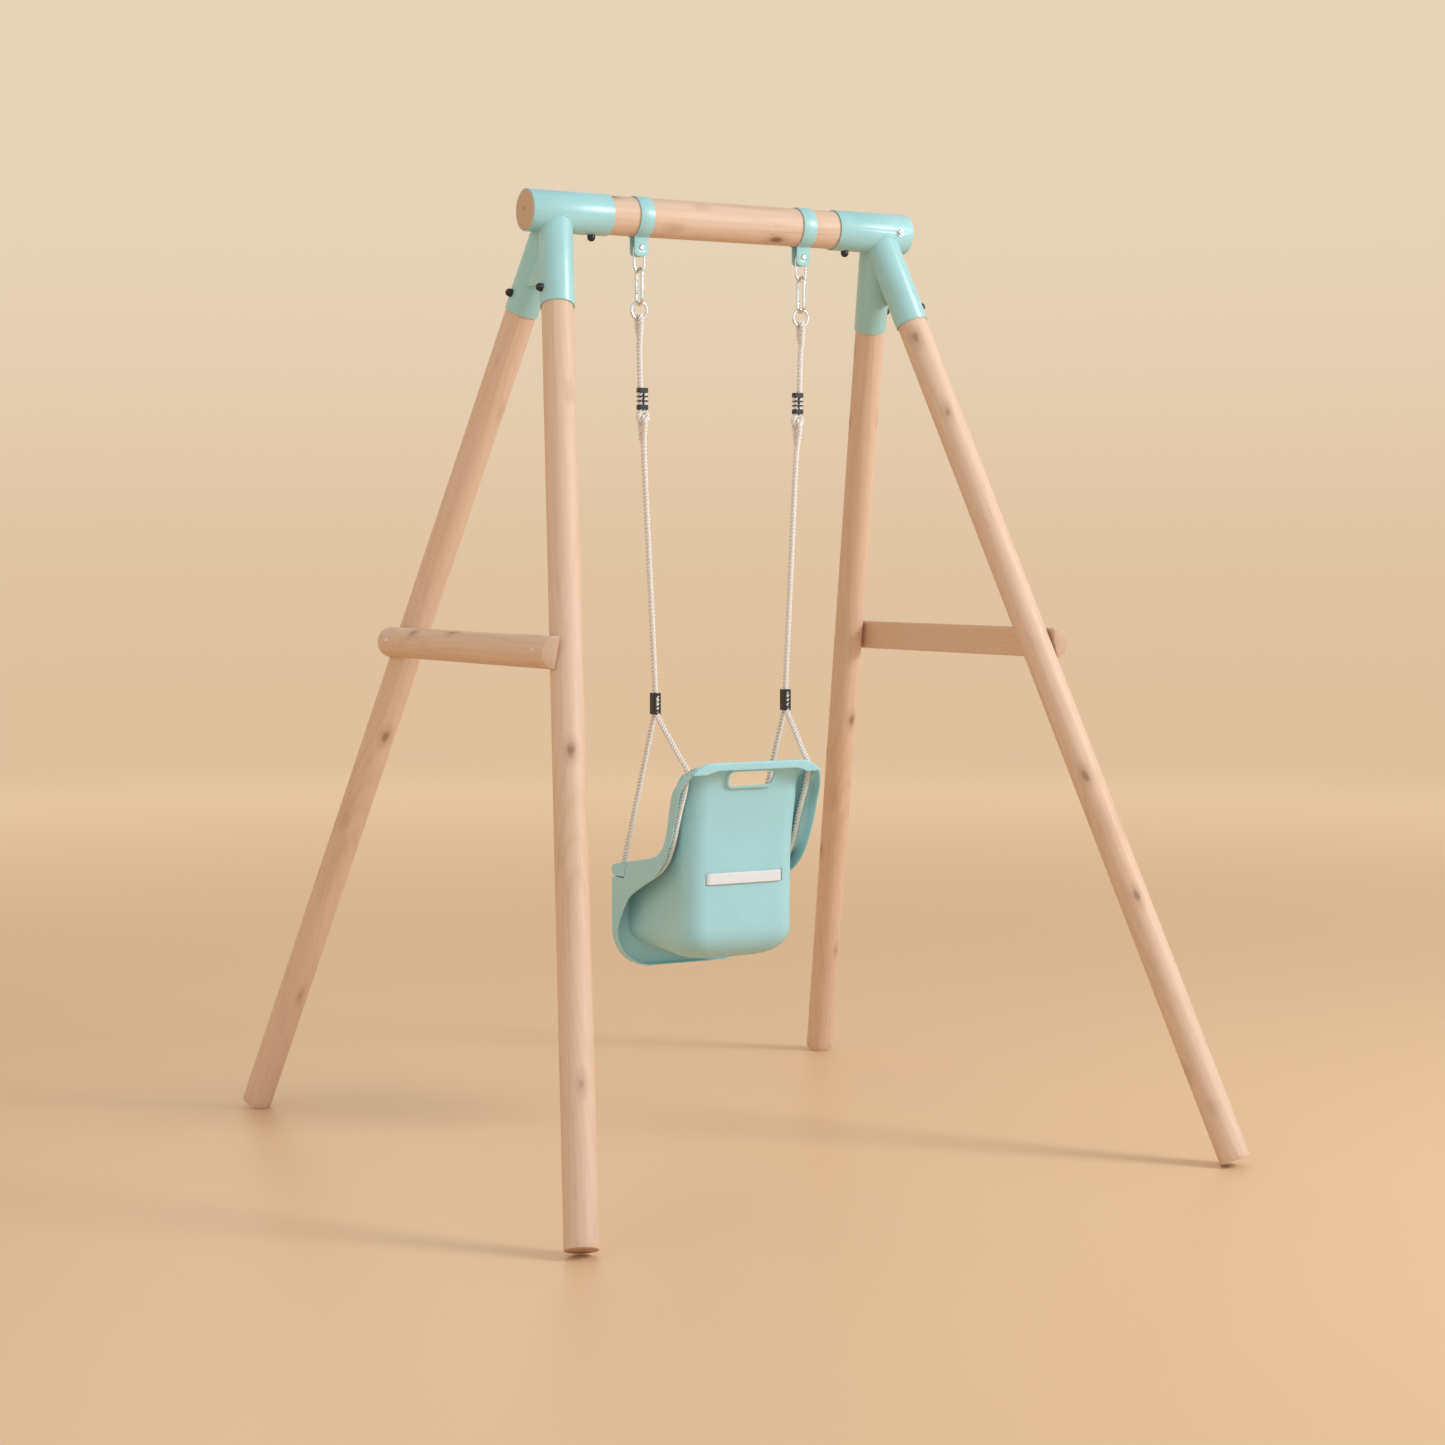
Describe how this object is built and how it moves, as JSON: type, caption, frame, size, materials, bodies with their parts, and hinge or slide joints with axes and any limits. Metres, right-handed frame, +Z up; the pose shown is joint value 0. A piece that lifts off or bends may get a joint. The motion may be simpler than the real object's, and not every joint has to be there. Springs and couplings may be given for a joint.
{
  "type": "baby swing",
  "caption": "High-backed moulded bucket seat with a T-shaped guard bar, hung on ropes from a round-timber A-frame with steel corner brackets.",
  "frame": {"origin": "on the floor below the middle of the beam", "axes": "+X along the beam towards the child's left, -Y the way the child faces, +Z up"},
  "size_m": [1.9328, 2.0442, 2.4585],
  "materials": {
    "timber": "planed round softwood, matt oil",
    "mint_steel": "satin powder coat",
    "black_caps": "glossy black cover caps",
    "black_plastic": "semi-gloss black nylon",
    "zinc_steel": "bright zinc plate",
    "rope": "laid synthetic rope, off-white",
    "mint_plastic": "satin moulded polyethylene, mint",
    "webbing": "woven belt webbing, white",
    "button_grey": "light grey release button"
  },
  "bodies": {
    "frame": {"top_beam": "timber", "leg_front_left": "timber", "leg_rear_left": "timber", "leg_front_right": "timber", "leg_rear_right": "timber", "bracket_left": "mint_steel", "bracket_right": "mint_steel", "brace_left": "timber", "brace_right": "timber", "leg_bolts": "zinc_steel", "leg_cap_nuts": "black_caps", "beam_bolts": "zinc_steel", "beam_cap_nuts": "black_caps", "beam_side_screws": "zinc_steel", "brace_screws": "zinc_steel", "hanger_clamp_left": "mint_steel", "hanger_clamp_right": "mint_steel", "clamp_bolts": "zinc_steel", "clamp_washers": "zinc_steel", "clamp_nuts": "zinc_steel", "chain_link_left": "zinc_steel", "chain_link_right": "zinc_steel"},
    "swing": {"snap_hook_left": "zinc_steel", "snap_hook_right": "zinc_steel", "gate_pins": "zinc_steel", "rope_ring_left": "zinc_steel", "rope_ring_right": "zinc_steel", "upper_rope_left": "rope", "upper_rope_right": "rope", "rope_adjuster_left": "black_plastic", "rope_adjuster_right": "black_plastic", "lower_rope_left": "rope", "lower_rope_right": "rope", "rope_clip_left": "black_plastic", "rope_clip_right": "black_plastic", "seat_rope_left": "rope", "seat_rope_right": "rope", "seat_shell": "mint_plastic", "waist_belt": "webbing", "belt_slider": "black_plastic", "buckle_socket": "black_plastic", "buckle_tongue": "black_plastic"},
    "gate_left": {"snap_gate_left": "zinc_steel"},
    "gate_right": {"snap_gate_right": "zinc_steel"},
    "guard": {"guard_bar": "mint_plastic"},
    "button": {"buckle_button": "button_grey"}
  },
  "joints": [
    {"name": "swing_pivot", "type": "hinge", "parent": "frame", "child": "swing", "pos_m": [0, 0, 2.2675], "axis": [1, 0, 0], "range_deg": [-45, 45]},
    {"name": "gate_left_hinge", "type": "hinge", "parent": "swing", "child": "gate_left", "pos_m": [0.244, -0.016, 2.209], "axis": [-1, 0, 0], "range_deg": [0, 22], "stiffness_Nm_per_rad": 0.05, "springref_deg": -11.46},
    {"name": "gate_right_hinge", "type": "hinge", "parent": "swing", "child": "gate_right", "pos_m": [-0.244, -0.016, 2.209], "axis": [-1, 0, 0], "range_deg": [0, 22], "stiffness_Nm_per_rad": 0.05, "springref_deg": -11.46},
    {"name": "guard_slide", "type": "slide", "parent": "swing", "child": "guard", "axis": [0, 0.3858, 0.9226], "range_m": [0, 0.25]},
    {"name": "buckle_press", "type": "slide", "parent": "swing", "child": "button", "axis": [0, 0.9848, 0.1736], "range_m": [0, 0.003], "stiffness_N_per_m": 400, "springref_m": -0.001}
  ]
}
